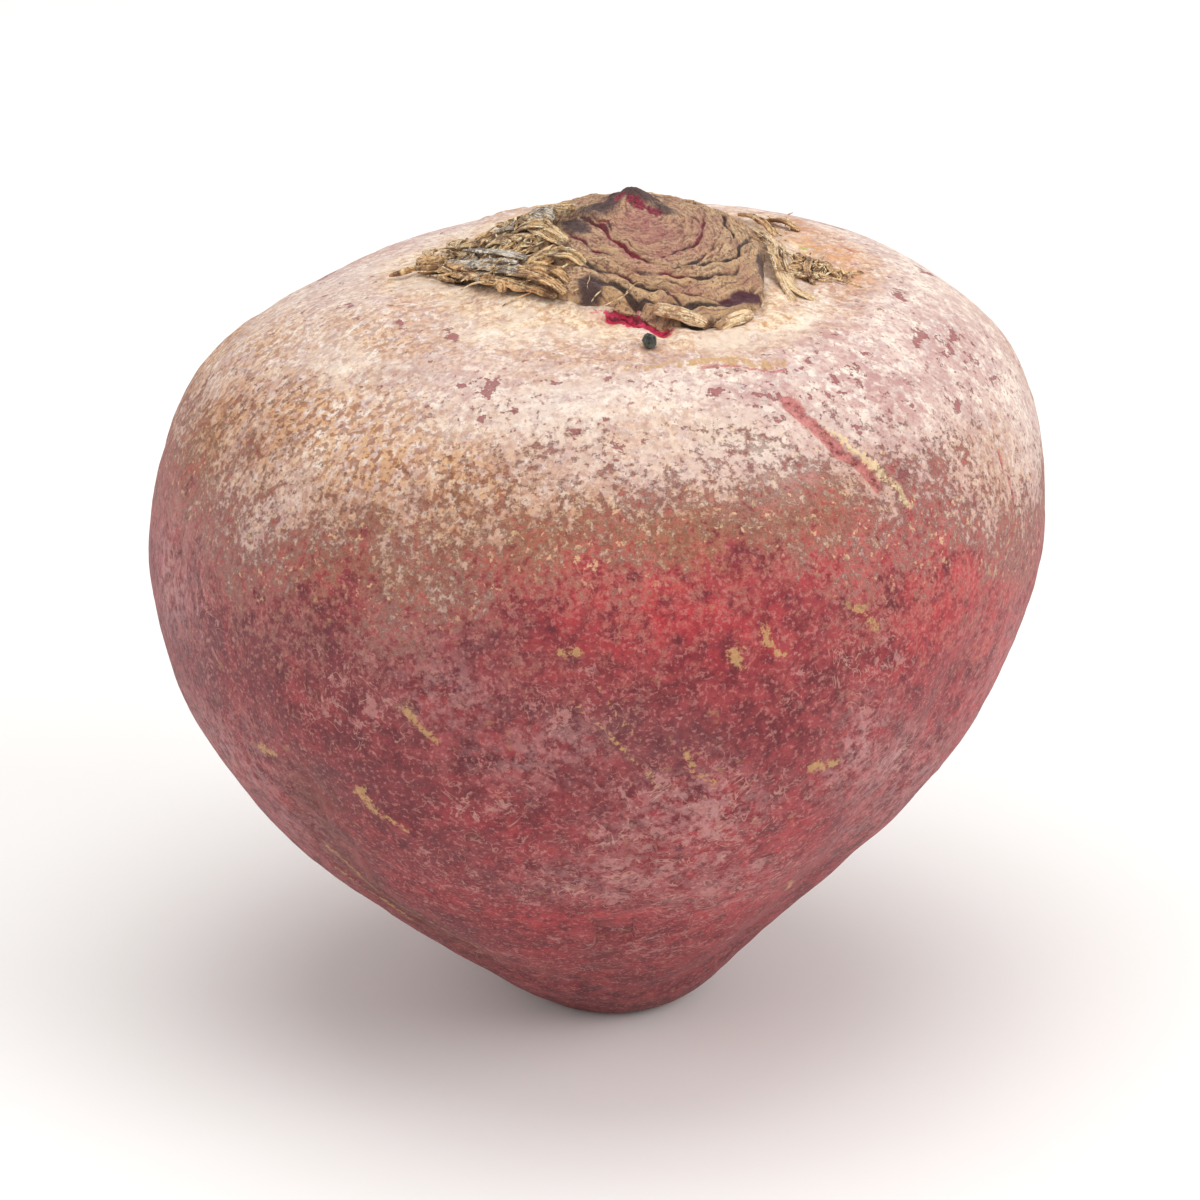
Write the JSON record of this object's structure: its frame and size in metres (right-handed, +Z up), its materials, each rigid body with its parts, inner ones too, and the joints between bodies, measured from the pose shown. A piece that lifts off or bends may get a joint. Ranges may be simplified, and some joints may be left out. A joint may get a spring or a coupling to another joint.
{
  "type": "beetroot",
  "caption": "Whole raw heart-shaped beetroot standing on its blunt tip, with dried leaf-stalk bases round the crown.",
  "frame": {"origin": "middle of the small flat under the tip, where the beetroot rests", "axes": "+Z up from the resting flat to the crown, +X to the right along the greatest width, -Y the front"},
  "size_m": [0.0894, 0.0868, 0.0855],
  "materials": {
    "skin": "dull dusty root skin, corky beige above and crimson below",
    "dry_stalk": "dry fibrous brown stalk",
    "grey_stalk": "weathered grey fibrous stalk",
    "pale_stalk": "dry tan papery stalk",
    "dark_bud": "blackened dry bud"
  },
  "bodies": {
    "root": {"root_body": "skin", "left_husk_outer": "dry_stalk", "left_husk_fibrous": "grey_stalk", "left_husk_inner": "dry_stalk", "left_husk_papery": "grey_stalk", "left_husk_back": "dry_stalk", "left_stub": "dark_bud", "right_strap": "pale_stalk", "right_tuft": "dry_stalk", "front_lip_left": "pale_stalk", "front_lip_right": "pale_stalk", "front_bud": "dark_bud"}
  },
  "joints": []
}
